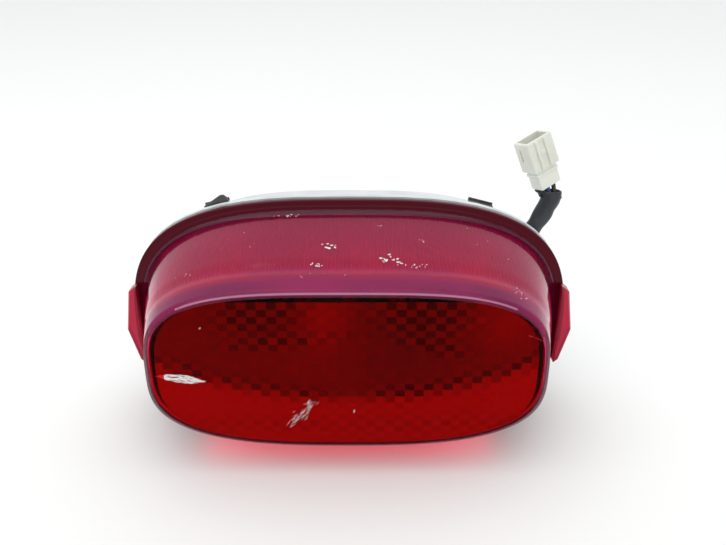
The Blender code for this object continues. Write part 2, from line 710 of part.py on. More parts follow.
def make_harness_clip(start, ahead, look):
    """A saddle that holds the sleeve's lower end on the back of the housing."""
    direction = (ahead - start).normalized()
    ring = [
        (5.9 * MM, 8 * MM), (5.9 * MM, 0.0), (SLEEVE_RADIUS + GAP, 0.0), (SLEEVE_RADIUS + GAP, 8 * MM),
    ]
    clip = turned("harness_clip", ring, look, closed=True, steps=24)
    clip.location = start + direction * 3 * MM
    clip.rotation_euler = direction.to_track_quat("Z", "Y").to_euler()
    centre = start + direction * 7 * MM
    foot_low = (-5 * MM, HOUSING_DEPTH + GAP, -4 * MM)
    foot = box_mesh("clip_foot", foot_low, (5 * MM, HOUSING_DEPTH + 1.6 * MM, 13 * MM))
    foot.transform(Matrix.Translation((centre.x, 0.0, centre.z)))
    combine(clip, cutter("clip_foot", foot), "UNION")
    return clip


def make_connector(rear, looks):
    """The three-way plug: a narrow tail, a hood with two lock ridges, and three terminals in its mouth."""
    half_width = CONNECTOR_WIDTH / 2
    half_thick = CONNECTOR_THICKNESS / 2
    tail = box_mesh(
        "connector_housing", (-half_width + 1.8 * MM, -half_thick + 1.3 * MM, 0.0),
        (half_width - 1.8 * MM, half_thick - 1.3 * MM, CONNECTOR_TAIL + MM),
    )
    plug = add("connector_housing", tail, looks["nylon"])
    hood_low = (-half_width, -half_thick, CONNECTOR_TAIL)
    hood = box_mesh("connector_hood", hood_low, (half_width, half_thick, CONNECTOR_LENGTH))
    mouth = box_mesh(
        "connector_mouth", (-half_width + 1.5 * MM, -half_thick + 1.5 * MM, CONNECTOR_LENGTH - MOUTH_DEPTH),
        (half_width - 1.5 * MM, half_thick - 1.5 * MM, CONNECTOR_LENGTH + 2 * MM),
    )
    helpers = [cutter("connector_hood", hood)]
    for number, x in enumerate((-2.8 * MM, 2.8 * MM)):
        ridge = box_mesh(
            f"connector_ridge_{number}", (x - 0.9 * MM, -half_thick - 1.1 * MM, CONNECTOR_TAIL),
            (x + 0.9 * MM, -half_thick + 0.5 * MM, CONNECTOR_LENGTH - 0.5 * MM),
        )
        helpers.append(cutter(f"connector_ridge_{number}", ridge))
    for helper in helpers:
        combine(plug, helper, "UNION")
    opening = cutter("connector_mouth", mouth)
    combine(plug, opening, "DIFFERENCE")
    blades = []
    for number, x in enumerate((-4.4 * MM, 0.0, 4.4 * MM), start=1):
        floor = CONNECTOR_LENGTH - MOUTH_DEPTH + GAP
        name = f"connector_terminal_{number}"
        blade = box_mesh(name, (x - 1.1 * MM, -0.4 * MM, floor), (x + 1.1 * MM, 0.4 * MM, floor + 6 * MM))
        blades.append(add(name, blade, looks["brass"]))
    pose = Matrix.Rotation(CONNECTOR_TILT, 3, "Y") @ Matrix.Rotation(CONNECTOR_YAW, 3, "Z")
    for piece in (plug, *helpers, opening, *blades):
        piece.location = rear
        piece.rotation_mode = "QUATERNION"
        piece.rotation_quaternion = pose.to_quaternion()


def main():
    looks = {
        "holder": material("holder_black", (0.03, 0.03, 0.032), 0.45),
        "rubber": material("seal_rubber", (0.02, 0.02, 0.02), 0.8),
        "steel": material("plated_steel", (0.55, 0.54, 0.5), 0.35, 1.0),
        "phenolic": material("phenolic_board", (0.22, 0.1, 0.04), 0.6),
        "brass": material("brass", (0.65, 0.48, 0.2), 0.3, 1.0),
        "glass": material("bulb_glass", (0.95, 0.95, 0.95), 0.02, 0.0, 1.0),
        "nylon": material("natural_nylon", (0.86, 0.86, 0.8), 0.4),
    }
    make_lens(material("lens_red", (0.35, 0.005, 0.01), 0.08))
    make_gasket(material("gasket_black", (0.02, 0.015, 0.015), 0.7))
    make_housing(material("housing_pale", (0.75, 0.77, 0.77), 0.45))
    make_reflector(material("reflector_silver", (0.85, 0.85, 0.87), 0.12, 1.0))
    make_bulb_unit("left", -BULB_X, looks)
    make_bulb_unit("right", BULB_X, looks)
    for side, centre in STUD_CENTRES.items():
        make_stud_set(side, centre, looks)
    clip_look = material("spring_steel", (0.2, 0.2, 0.19), 0.4, 1.0)
    for name, degrees in CLIP_ANGLES.items():
        make_clip(name, degrees, clip_look)

    lead_look = material("lead_black", (0.02, 0.02, 0.025), 0.5)
    tube("left_lead", smooth_route(LEFT_LEAD_ROUTE, 5 * MM), LEAD_RADIUS, lead_look)
    tube("right_lead", smooth_route(RIGHT_LEAD_ROUTE, 5 * MM), LEAD_RADIUS, lead_look)
    sleeve_points = smooth_route(SLEEVE_ROUTE, 5 * MM)
    tube("harness_sleeve", sleeve_points, SLEEVE_RADIUS, material("sleeve_black", (0.02, 0.022, 0.03), 0.4))
    make_harness_clip(sleeve_points[0], sleeve_points[2], clip_look)
    lean = Matrix.Rotation(CONNECTOR_TILT, 3, "Y")
    make_connector(sleeve_points[-1] + lean @ Vector((0.0, 0.0, CONNECTOR_GAP)), looks)


main()
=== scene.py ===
"""Looks for a motorcycle tail light: a deep red lens on a pale housing, with its bulbs, fixings and plug."""
import math
import random

import bmesh
import bpy
from mathutils import Matrix, Vector, noise


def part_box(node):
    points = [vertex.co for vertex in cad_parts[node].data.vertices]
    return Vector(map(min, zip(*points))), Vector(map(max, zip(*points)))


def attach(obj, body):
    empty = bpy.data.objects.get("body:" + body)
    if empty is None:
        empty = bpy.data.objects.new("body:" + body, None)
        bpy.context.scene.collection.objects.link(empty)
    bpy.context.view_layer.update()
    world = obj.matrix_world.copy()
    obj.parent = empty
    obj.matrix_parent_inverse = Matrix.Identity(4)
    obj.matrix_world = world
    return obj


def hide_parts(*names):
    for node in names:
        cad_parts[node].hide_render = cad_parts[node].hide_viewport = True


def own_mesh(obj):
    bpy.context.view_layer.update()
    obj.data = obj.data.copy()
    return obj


MM = 0.001

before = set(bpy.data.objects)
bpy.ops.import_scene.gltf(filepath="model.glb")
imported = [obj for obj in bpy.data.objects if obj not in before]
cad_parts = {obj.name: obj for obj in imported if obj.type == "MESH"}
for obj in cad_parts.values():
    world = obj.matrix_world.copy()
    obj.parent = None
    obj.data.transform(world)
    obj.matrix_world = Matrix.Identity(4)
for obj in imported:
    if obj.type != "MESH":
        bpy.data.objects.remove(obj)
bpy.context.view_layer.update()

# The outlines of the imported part, in metres: half width, bottom, middle, top, squareness above and below.
RIM_SHAPE = (0.1055, 0.0, 0.043, 0.1092, 3.0, 3.0)
WALL_SHAPE = (0.101, 0.0035, 0.043, 0.1048, 3.0, 3.0)
FACE_SHAPE = (0.085, 0.015, 0.051, 0.0915, 3.5, 2.8)
LENS_DEPTH = 64 * MM
FACE_BULGE = 2 * MM
FLANGE_BACK = -1.3 * MM
FLANGE_FRONT = -4.3 * MM
VALLEY_DEPTH = 0.9 * MM
SHELL_WALL = 1.6 * MM
WALL_START = 0.06  # shares of the lens's depth where its wall starts and ends
WALL_END = 0.955
LIP_RADIUS = 3 * MM  # the rounding between the wall and the face
RIDGE_HIGHLIGHT_LOW = 0.084  # the painted highlight along the ridge above the face: lowest height, and its band of face_norm
RIDGE_HIGHLIGHT_BAND = (0.984, 0.997)

# The harness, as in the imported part: the sleeve's route in millimetres, and how the plug leans and turns.
SLEEVE_ROUTE = (
    (73, 48.6, 47), (83, 48.8, 52), (92.5, 49.2, 62.5), (99.5, 50, 74), (104.4, 50, 83.5), (107, 50, 91),
    (104.6, 50, 97.4),
)
PLUG_TILT = math.radians(-22)
PLUG_YAW = math.radians(28)
PLUG_GAP = 0.8 * MM


def link(thing):
    bpy.context.scene.collection.objects.link(thing)
    return thing


def signed_power(value, power):
    return math.copysign(abs(value) ** power, value)


def smooth_route(points, step):
    """Points every step along a Catmull-Rom curve through a route's own points, given in millimetres."""
    knots = [Vector(point) * MM for point in points]
    padded = [2 * knots[0] - knots[1], *knots, 2 * knots[-1] - knots[-2]]
    fine = []
    for index in range(1, len(padded) - 2):
        before, here, there, after = padded[index - 1:index + 3]
        for part in range(24):
            t = part / 24
            fine.append(0.5 * (
                2 * here + (there - before) * t
                + (2 * before - 5 * here + 4 * there - after) * t ** 2
                + (3 * here - before - 3 * there + after) * t ** 3
            ))
    fine.append(knots[-1])
    total = sum((second - first).length for first, second in zip(fine, fine[1:]))
    count = max(2, round(total / step))
    spaced = [fine[0]]
    walked = 0.0
    for first, second in zip(fine, fine[1:]):
        walked += (second - first).length
        if walked >= total / count * len(spaced) and len(spaced) < count:
            spaced.append(second)
    spaced.append(fine[-1])
    return spaced


def route_length(points):
    return sum((second - first).length for first, second in zip(points, points[1:]))


# ---------------------------------------------------------------- camera

camera = link(bpy.data.objects.new("camera", bpy.data.cameras.new("camera")))
camera.data.lens = 38.2
camera.data.sensor_width = 36
camera.data.clip_start = 0.01
camera.location = (0.0068, -0.339, 0.233)
camera.rotation_mode = "QUATERNION"
camera.rotation_quaternion = Vector((0.0, 0.90153, -0.43271)).to_track_quat("-Z", "Y")
bpy.context.scene.camera = camera


# ---------------------------------------------------------------- materials

class Look:
    """A node material built round one Principled shader."""

    def __init__(self, name, color, roughness, **values):
        self.material = bpy.data.materials.new(name)
        self.material.use_nodes = True
        self.nodes = self.material.node_tree.nodes
        self.links = self.material.node_tree.links
        self.shader = self.nodes["Principled BSDF"]
        self.shader.inputs["Base Color"].default_value = (*color, 1.0)
        self.shader.inputs["Roughness"].default_value = roughness
        for key, value in values.items():
            self.shader.inputs[key.replace("_", " ")].default_value = value
        self.place = self.nodes.new("ShaderNodeTexCoord").outputs["Object"]

    def noise(self, scale, detail=4.0, stretch=(1.0, 1.0, 1.0), turn=(0.0, 0.0, 0.0)):
        mapping = self.nodes.new("ShaderNodeMapping")
        mapping.inputs["Scale"].default_value = stretch
        mapping.inputs["Rotation"].default_value = turn
        self.links.new(self.place, mapping.inputs["Vector"])
        texture = self.nodes.new("ShaderNodeTexNoise")
        texture.inputs["Scale"].default_value = scale
        texture.inputs["Detail"].default_value = detail
        self.links.new(mapping.outputs[0], texture.inputs["Vector"])
        return texture.outputs["Fac"]

    def axis(self, name):
        node = self.nodes.new("ShaderNodeSeparateXYZ")
        self.links.new(self.place, node.inputs[0])
        return node.outputs[name]

    def ramp(self, source, low, high, stops):
        """A colour from a value, through stops given as (value, colour)."""
        node = self.nodes.new("ShaderNodeValToRGB")
        elements = node.color_ramp.elements
        while len(elements) < len(stops):
            elements.new(0.5)
        for element, (value, color) in zip(elements, stops):
            element.position = (value - low) / (high - low)
            element.color = (*color, 1.0)
        self.links.new(self.spread(source, low, high, 0.0, 1.0), node.inputs[0])
        return node.outputs["Color"]

    def spread(self, source, low, high, start, end):
        node = self.nodes.new("ShaderNodeMapRange")
        for socket, value in zip(("From Min", "From Max", "To Min", "To Max"), (low, high, start, end)):
            node.inputs[socket].default_value = value
        self.links.new(source, node.inputs["Value"])
        return node.outputs["Result"]

    def mix(self, factor, first, second):
        node = self.nodes.new("ShaderNodeMix")
        node.data_type = "RGBA"
        self.links.new(factor, node.inputs[0])
        for socket, value in ((node.inputs[6], first), (node.inputs[7], second)):
            if isinstance(value, tuple):
                socket.default_value = (*value, 1.0)
            else:
                self.links.new(value, socket)
        return node.outputs[2]

    def color(self, source):
        self.links.new(source, self.shader.inputs["Base Color"])
        return self

    def rough(self, source):
        self.links.new(source, self.shader.inputs["Roughness"])
        return self

    def bump(self, source, strength, distance):
        node = self.nodes.new("ShaderNodeBump")
        node.inputs["Strength"].default_value = strength
        node.inputs["Distance"].default_value = distance
        self.links.new(source, node.inputs["Height"])
        held = self.shader.inputs["Normal"]
        if held.is_linked:
            self.links.new(held.links[0].from_socket, node.inputs["Normal"])
        self.links.new(node.outputs["Normal"], held)
        return self


def lens_look(name, color, roughness, ior, haze, clear=1.0, **values):
    """Dyed clear acrylic: polished, with fine wiping marks and a few worn, cloudy places. For the ridge and
    the rim, the colour given is painted highlight and painted shade, not dye.
    """
    look = Look(name, color, roughness, IOR=ior, Transmission_Weight=clear, **values)
    cloud = look.noise(38, 6)
    marks = look.noise(240, 3, (0.12, 1.0, 1.0), (0.0, 0.5, 0.3))
    look.rough(look.spread(cloud, 0.35, 0.75, roughness, roughness + haze))
    look.bump(marks, 0.06, 0.2 * MM)
    return look.material


LOOKS = {
    "lens_wall": lens_look(
        "lens_wall", (0.80, 0.02, 0.22), 0.05, 1.12, 0.08, 0.93,
        Coat_Weight=0.45, Coat_IOR=1.5, Coat_Roughness=0.06,
    ),
    "lens_face": lens_look("lens_face", (0.82, 0.008, 0.012), 0.02, 1.11, 0.04),
    # The ridge's pale pink is a painted highlight on the rounded edge above the face.
    "lens_ridge_painted_highlight": lens_look("lens_ridge_painted_highlight", (0.50, 0.16, 0.30), 0.2, 1.45, 0.10, 0.3),
    # The rim's near-black red, opaque, is painted shade on the flange.
    "lens_rim_painted_shade": lens_look("lens_rim_painted_shade", (0.075, 0.001, 0.009), 0.14, 1.2, 0.10, 0.0),
}


def moulded(name, color, shade, roughness, grain=0.25, **values):
    """A moulded plastic or rubber with a fine texture, soft colour drift and handling marks."""
    look = Look(name, color, roughness, **values)
    drift = look.noise(30, 5)
    fine = look.noise(900, 3)
    look.color(look.mix(look.spread(drift, 0.35, 0.7, 0.0, 1.0), color, shade))
    look.rough(look.spread(drift, 0.3, 0.8, roughness - 0.08, roughness + 0.12))
    look.bump(fine, grain, 0.1 * MM)
    return look.material


def metal(name, color, shade, roughness, stretch=(1.0, 1.0, 1.0), **values):
    """A plated or bare metal with drawing lines and a dull bloom in places."""
    look = Look(name, color, roughness, Metallic=1.0, **values)
    bloom = look.noise(60, 6)
    lines = look.noise(500, 2, stretch)
    look.color(look.mix(look.spread(bloom, 0.4, 0.75, 0.0, 1.0), color, shade))
    look.rough(look.spread(bloom, 0.3, 0.8, roughness - 0.05, roughness + 0.18))
    look.bump(lines, 0.12, 0.05 * MM)
    return look.material


LOOKS.update({
    "rubber": moulded("seal_rubber", (0.012, 0.010, 0.011), (0.03, 0.026, 0.026), 0.7),
    "housing": moulded("housing_pale", (0.74, 0.76, 0.76), (0.55, 0.58, 0.60), 0.42),
    "holder": moulded("holder_black", (0.018, 0.018, 0.020), (0.04, 0.04, 0.042), 0.45),
    "phenolic": moulded("phenolic_board", (0.22, 0.10, 0.04), (0.13, 0.055, 0.02), 0.55),
    "lead": moulded("lead_black", (0.012, 0.012, 0.015), (0.028, 0.028, 0.032), 0.4),
    "lead_blue": moulded("lead_blue", (0.02, 0.05, 0.22), (0.01, 0.03, 0.12), 0.4),
    "sleeve": moulded("sleeve_black", (0.010, 0.011, 0.015), (0.03, 0.033, 0.042), 0.33, 0.15),
    "nylon": moulded(
        "natural_nylon", (0.80, 0.81, 0.74), (0.66, 0.67, 0.58), 0.38, 0.1, Subsurface_Weight=0.15,
        Subsurface_Scale=0.002,
    ),
    "silver": metal("reflector_silver", (0.86, 0.86, 0.88), (0.70, 0.71, 0.74), 0.12),
    "plated": metal("plated_steel", (0.62, 0.61, 0.56), (0.42, 0.40, 0.35), 0.32),
    "spring": metal("spring_steel", (0.17, 0.165, 0.155), (0.06, 0.055, 0.05), 0.42, (0.05, 1.0, 1.0)),
    "brass": metal("bulb_brass", (0.70, 0.52, 0.24), (0.45, 0.30, 0.12), 0.28),
    "terminal": metal("terminal_brass", (0.72, 0.52, 0.20), (0.30, 0.20, 0.08), 0.3),
    "tungsten": metal("filament_wire", (0.35, 0.35, 0.37), (0.2, 0.2, 0.2), 0.4),
})
GLASS = Look("bulb_glass", (0.97, 0.97, 0.97), 0.02, IOR=1.5, Transmission_Weight=1.0)
GLASS.bump(GLASS.noise(45, 2), 0.05, 0.2 * MM)
LOOKS["glass"] = GLASS.material

# The pale paint of the real flecks on the top, also used for the painted highlights on the face.
FLECK_AND_HIGHLIGHT_PAINT = moulded("fleck_and_highlight_paint", (0.85, 0.83, 0.82), (0.7, 0.66, 0.66), 0.5)


# ---------------------------------------------------------------- mesh helpers

def piece(name, mesh, look, body="lamp", smooth=True):
    """A shown piece that rides on a CAD body."""
    if smooth:
        mesh.shade_smooth()
    if not mesh.materials:
        mesh.materials.append(look)
    thing = link(bpy.data.objects.new(name, mesh))
    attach(thing, body)
    return thing


def mesh_of(name, points, faces):
    mesh = bpy.data.meshes.new(name)
    mesh.from_pydata([tuple(point) for point in points], [], faces)
    mesh.validate()
    return mesh


def facing_out(mesh):
    """Turns every face of a closed mesh outwards."""
    work = bmesh.new()
    work.from_mesh(mesh)
    bmesh.ops.recalc_face_normals(work, faces=work.faces)
    work.to_mesh(mesh)
    work.free()
    return mesh


def loft(name, loops, ring=False):
    """Joins loops of equal count with quads. A ring closes on itself, and anything else gets two end caps."""
    count = len(loops[0])
    points = [point for loop in loops for point in loop]
    faces = []
    rows = len(loops)
    for row in range(rows if ring else rows - 1):
        below = row * count
        above = (row + 1) % rows * count
        for column in range(count):
            beside = (column + 1) % count
            faces.append((below + column, below + beside, above + beside, above + column))
    if not ring:
        faces.append(tuple(reversed(range(count))))
        faces.append(tuple(range((rows - 1) * count, rows * count)))
    return facing_out(mesh_of(name, points, faces))


def outline(shape, inset, per_quarter):
    """Points (x, z) along a rounded outline, evenly spaced within each quarter."""
    half_width, bottom, middle, top, power_top, power_bottom = shape
    half_width -= inset
    bottom += inset
    top -= inset
    fine_steps = 500
    points = []
    for quarter in range(4):
        fine = []
        for step in range(fine_steps + 1):
            angle = math.pi / 2 * (quarter + step / fine_steps)
            up = quarter < 2
            power = 2 / (power_top if up else power_bottom)
            height = top - middle if up else middle - bottom
            across = math.cos(angle) if abs(math.cos(angle)) > 1e-9 else 0.0
            rise = math.sin(angle) if abs(math.sin(angle)) > 1e-9 else 0.0
            fine.append((
                half_width * signed_power(across, power), middle + height * signed_power(rise, power),
            ))
        lengths = [0.0]
        for first, second in zip(fine, fine[1:]):
            lengths.append(lengths[-1] + math.dist(first, second))
        at = 0
        for index in range(per_quarter):
            target = lengths[-1] * index / per_quarter
            while lengths[at + 1] < target:
                at += 1
            share = (target - lengths[at]) / (lengths[at + 1] - lengths[at])
            points.append(tuple(a + (b - a) * share for a, b in zip(fine[at], fine[at + 1])))
    return points


def ring_at(y, inset, shape, per_quarter=90, scale=1.0):
    middle = shape[2]
    return [
        (x * scale, y, middle + (z - middle) * scale) for x, z in outline(shape, inset, per_quarter)
    ]


def dip_at(depth):
    """How far the top of the lens wall is drawn down at a depth: a shallow valley before the front lip."""
    knots = ((0.0, 0.0), (0.35, 0.0), (0.6, 0.2), (0.72, 1.0), (0.8, 0.2), (0.95, 0.0), (1.0, 0.0))
    for (start, low), (end, high) in zip(knots, knots[1:]):
        if depth <= end:
            share = (depth - start) / (end - start)
            share = share * share * (3 - 2 * share)
            return low + (high - low) * share
    return 0.0


def lens_shape(depth):
    """The lens wall's outline between the rim (0) and the face (1)."""
    half_width, bottom, middle, top, power_top, power_bottom = (
        rim + (face - rim) * depth for rim, face in zip(WALL_SHAPE, FACE_SHAPE)
    )
    return half_width, bottom, middle, top - VALLEY_DEPTH * dip_at(depth), power_top, power_bottom


def face_norm(x, z):
    """0 at the middle of the face and 1 on its outline."""
    half_width, bottom, middle, top, power_top, power_bottom = FACE_SHAPE
    power = power_top if z >= middle else power_bottom
    height = top - middle if z >= middle else middle - bottom
    return (abs(x / half_width) ** power + abs((z - middle) / height) ** power) ** (1 / power)


def face_y(x, z):
    return -LENS_DEPTH - FACE_BULGE * (1 - min(1.0, face_norm(x, z)) ** 2)


# ---------------------------------------------------------------- harness: the cord comes first

def frames_along(points):
    """Each point of a route with its direction, its wide axis across the view, and its thin axis."""
    result = []
    for index, point in enumerate(points):
        ahead = points[min(index + 1, len(points) - 1)]
        behind = points[max(index - 1, 0)]
        direction = (ahead - behind).normalized()
        wide = direction.cross(Vector((0.0, 1.0, 0.0))).normalized()
        result.append((point, direction, wide, wide.cross(direction)))
    return result


def make_sleeve(points):
    """A soft sleeve pulled over the leads: flattened, creased where it bends, and open at its upper end."""
    count = 36
    loops = []
    length = route_length(points)
    walked = 0.0
    previous = points[0]
    for point, direction, wide, thin in frames_along(points):
        walked += (point - previous).length
        previous = point
        share = walked / length
        crease = math.exp(-((share - 0.66) / 0.045) ** 2) - 0.5 * math.exp(-((share - 0.76) / 0.06) ** 2)
        loop = []
        for index in range(count):
            angle = 2 * math.pi * index / count
            half_wide = (5.1 - 0.6 * crease + 1.3 * max(0.0, share - 0.85) / 0.15) * MM
            half_thin = (3.1 + 0.9 * crease) * MM
            fold = noise.noise(Vector((math.cos(angle) * 1.4, math.sin(angle) * 1.4, share * 9)))
            swell = 1 + 0.07 * fold + 0.05 * math.sin(3 * angle + share * 14)
            slant = direction * (3.4 * MM * max(0.0, share - 0.8) / 0.2 * math.cos(angle))
            loop.append(
                point + slant + wide * (half_wide * swell * math.cos(angle))
                + thin * (half_thin * swell * math.sin(angle))
            )
        loops.append(loop)
    end, direction = frames_along(points)[-1][:2]
    for shrink, sink in ((0.86, 0.0), (0.84, -4.0)):
        loops.append([
            end + (corner - end) * shrink + direction * sink * MM for corner in loops[len(points) - 1]
        ])
    return loft("sleeve_tube", loops)


def tube(name, points, radius, look):
    """A round wire that rides on the lamp."""
    path = bpy.data.curves.new(name, "CURVE")
    path.dimensions = "3D"
    path.bevel_depth = radius
    path.bevel_resolution = 4
    path.use_fill_caps = True
    spline = path.splines.new("POLY")
    spline.points.add(len(points) - 1)
    for target, point in zip(spline.points, points):
        target.co = (*point, 1.0)
    path.materials.append(look)
    thing = link(bpy.data.objects.new(name, path))
    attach(thing, "lamp")
    return thing


WIRE_RADIUS = 1.2 * MM
BARE_END = 2.5 * MM  # the wires show between the sleeve's end and the plug

sleeve_points = smooth_route(SLEEVE_ROUTE, 1.5 * MM)
sleeve_top = sleeve_points[-1]
shown_points = [point for point in sleeve_points if (point - sleeve_top).length > BARE_END]
sleeve = piece("sleeve_tube", make_sleeve(shown_points), LOOKS["sleeve"])
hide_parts("harness_sleeve")

upper = shown_points[-4]
lean = Matrix.Rotation(PLUG_TILT, 3, "Y")
plug_turn = lean @ Matrix.Rotation(PLUG_YAW, 3, "Z")
for number, (across, look) in enumerate(((-3.7, "lead"), (0.0, "lead_blue"), (3.7, "lead")), start=1):
    rear = sleeve_top + plug_turn @ Vector((across * 1.15 * MM, 0.0, 2.2 * MM))
    start = upper + Vector((across * 0.45 * MM, -0.6 * MM, 0.0))
    mid = (start + rear) / 2 + Vector((across * 0.18 * MM, (-0.8 if number == 2 else 0.5) * MM, 0.0))
    ahead = rear + plug_turn @ Vector((0.0, 0.0, 3 * MM))
    route = smooth_route([tuple(point / MM) for point in (start, mid, rear, ahead)], 0.8 * MM)
    tube(f"plug_wire_{number}", route, WIRE_RADIUS, LOOKS[look])


# ---------------------------------------------------------------- plug

def bevelled_box(name, low, high, radius):
    """A box with rounded edges, given in millimetres."""
    work = bmesh.new()
    centre = Vector([(a + b) / 2 for a, b in zip(low, high)]) * MM
    size = Vector([b - a for a, b in zip(low, high)]) * MM
    bmesh.ops.create_cube(work, size=1.0, matrix=Matrix.Translation(centre) @ Matrix.Diagonal((*size, 1.0)))
    bmesh.ops.bevel(
        work, geom=work.edges[:], offset=radius * MM, segments=3, profile=0.5, affect="EDGES",
        clamp_overlap=True,
    )
    mesh = bpy.data.meshes.new(name)
    work.to_mesh(mesh)
    work.free()
    return mesh


def solid(target, other, operation):
    """Adds or takes away a mesh with an exact Boolean, and returns the new mesh."""
    first = link(bpy.data.objects.new("work_a", target))
    second = link(bpy.data.objects.new("work_b", other))
    change = first.modifiers.new("change", "BOOLEAN")
    change.operation = operation
    change.solver = "EXACT"
    change.object = second
    result = bpy.data.meshes.new_from_object(
        first.evaluated_get(bpy.context.evaluated_depsgraph_get())
    )
    bpy.data.objects.remove(first)
    bpy.data.objects.remove(second)
    return result


def make_plug():
    """The plug: a tail with three wire entries, and a hood with lock ridges, side slots and a mouth."""
    additions = (
        ((-8.25, -5.75, 10.6), (8.25, 5.75, 27.5), 0.8),
        ((-3.7, -6.8, 11.0), (-1.9, -5.2, 27.0), 0.35),
        ((1.9, -6.8, 11.0), (3.7, -5.2, 27.0), 0.35),
        ((-6.9, -4.9, 7.4), (6.9, 4.9, 9.0), 0.35),
        ((-1.7, -6.35, 18.5), (1.7, -5.2, 21.5), 0.35),
        ((-5.5, 5.0, 12.5), (5.5, 6.3, 16.0), 0.4),
    )
    cuts = (
        ((-6.75, -4.25, 15.5), (6.75, 4.25, 31.0), 0.7),
        ((-10.0, 0.9, 17.0), (-6.2, 2.1, 24.0), 0.15),
        ((6.2, 0.9, 17.0), (10.0, 2.1, 24.0), 0.15),
    )
    plug = bevelled_box("plug", (-6.45, -4.45, 0.0), (6.45, 4.45, 12.0), 0.6)
    for low, high, radius in additions:
        plug = solid(plug, bevelled_box("addition", low, high, radius), "UNION")
    for low, high, radius in cuts:
        plug = solid(plug, bevelled_box("cut", low, high, radius), "DIFFERENCE")
    for x in (-4.2, 0.0, 4.2):
        entry = bpy.data.meshes.new("entry")
        work = bmesh.new()
        bmesh.ops.create_cone(
            work, cap_ends=True, segments=28, radius1=1.6 * MM, radius2=1.45 * MM, depth=8 * MM,
            matrix=Matrix.Translation((x * MM, 0.0, 1.2 * MM)),
        )
        work.to_mesh(entry)
        work.free()
        plug = solid(plug, entry, "DIFFERENCE")
    return plug


plug_rear = sleeve_top + lean @ Vector((0.0, 0.0, PLUG_GAP))
plug_place = Matrix.Translation(plug_rear) @ plug_turn.to_4x4()
plug_mesh = make_plug()
plug_mesh.transform(plug_place)
plug_mesh.materials.clear()
plug_mesh.materials.append(LOOKS["nylon"])
plug = piece("plug_shell", plug_mesh, LOOKS["nylon"], smooth=False)
plug.data.shade_smooth()
plug.data.set_sharp_from_angle(angle=math.radians(40))
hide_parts("connector_housing")


# ---------------------------------------------------------------- lens

def lens_skin(wall, per_quarter=90):
    """Loops along one skin of the lens, from behind the flange to the middle of the face."""
    loops = []
    steps = 30
    for step in range(steps + 1):
        depth = WALL_START + (WALL_END - WALL_START) * step / steps
        y = FLANGE_BACK - LENS_DEPTH * depth + wall * depth
        loops.append(ring_at(y, wall, lens_shape(depth), per_quarter))
    turn_steps = 7
    start_y = FLANGE_BACK - LENS_DEPTH * WALL_END
    for step in range(1, turn_steps + 1):
        turn = math.pi / 2 * step / turn_steps
        inset = LIP_RADIUS * (1 - math.cos(turn))
        y = start_y - (LENS_DEPTH - wall + start_y + 0.35 * MM) * math.sin(turn)
        loops.append(ring_at(y, wall + inset, FACE_SHAPE, per_quarter))
    scale_start = (FACE_SHAPE[0] - wall - LIP_RADIUS) / (FACE_SHAPE[0] - wall)
    for step in range(1, 13):
        scale = scale_start * (1 - step / 12.6)
        loops.append([
            (x, wall - LENS_DEPTH - FACE_BULGE * (1 - scale ** 2), z)
            for x, _, z in ring_at(0.0, wall, FACE_SHAPE, per_quarter, scale)
        ])
    return loops


def between(share):
    """An outline on the flange's front, between the rim and the root of the wall."""
    return tuple(rim + (wall - rim) * share for rim, wall in zip(RIM_SHAPE, WALL_SHAPE))


def make_lens_shell():
    """The clear red shell, closed, with a rounded flange that steps up to the wall."""
    corner = 0.5 * MM
    step = FLANGE_FRONT - 0.6 * MM
    outer = [
        ring_at(FLANGE_BACK, corner, RIM_SHAPE),
        ring_at(FLANGE_BACK - corner * 0.3, corner * 0.3, RIM_SHAPE),
        ring_at(FLANGE_BACK - corner, 0.0, RIM_SHAPE),
        ring_at(FLANGE_FRONT + corner, 0.0, RIM_SHAPE),
        ring_at(FLANGE_FRONT + corner * 0.3, corner * 0.3, RIM_SHAPE),
        ring_at(FLANGE_FRONT, corner, RIM_SHAPE),
        ring_at(FLANGE_FRONT, 0.0, between(0.52)),
        ring_at(FLANGE_FRONT - 0.15 * MM, 0.0, between(0.56)),
        ring_at(FLANGE_FRONT - 0.5 * MM, 0.0, between(0.59)),
        ring_at(step, 0.0, between(0.64)),
        ring_at(step, -0.5 * MM, WALL_SHAPE),
        ring_at(step - 0.2 * MM, -0.15 * MM, WALL_SHAPE),
        *lens_skin(0.0)[1:],
    ]
    inner = [*reversed(lens_skin(SHELL_WALL)), ring_at(FLANGE_BACK, SHELL_WALL, WALL_SHAPE)]
    mesh = loft("lens_shell", [*inner, *outer])
    for look in ("lens_wall", "lens_face", "lens_rim_painted_shade", "lens_ridge_painted_highlight"):
        mesh.materials.append(LOOKS[look])
    for polygon in mesh.polygons:
        x, y, z = polygon.center
        face_back = -LENS_DEPTH - 0.05 * MM + (SHELL_WALL if polygon.normal.y > 0 else 0.0)
        # Polygons along the ridge above the face get the painted highlight.
        if polygon.normal.z > 0.2 and z > RIDGE_HIGHLIGHT_LOW and RIDGE_HIGHLIGHT_BAND[0] < face_norm(x, z) < RIDGE_HIGHLIGHT_BAND[1]:
            polygon.material_index = 3
        elif y < face_back:
            polygon.material_index = 1
        # The flange gets the rim look, whose near-black is painted shade.
        elif y > FLANGE_FRONT - 0.75 * MM:
            polygon.material_index = 2
    return mesh


lens = piece("lens_shell", make_lens_shell(), LOOKS["lens_wall"])
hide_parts("lens")


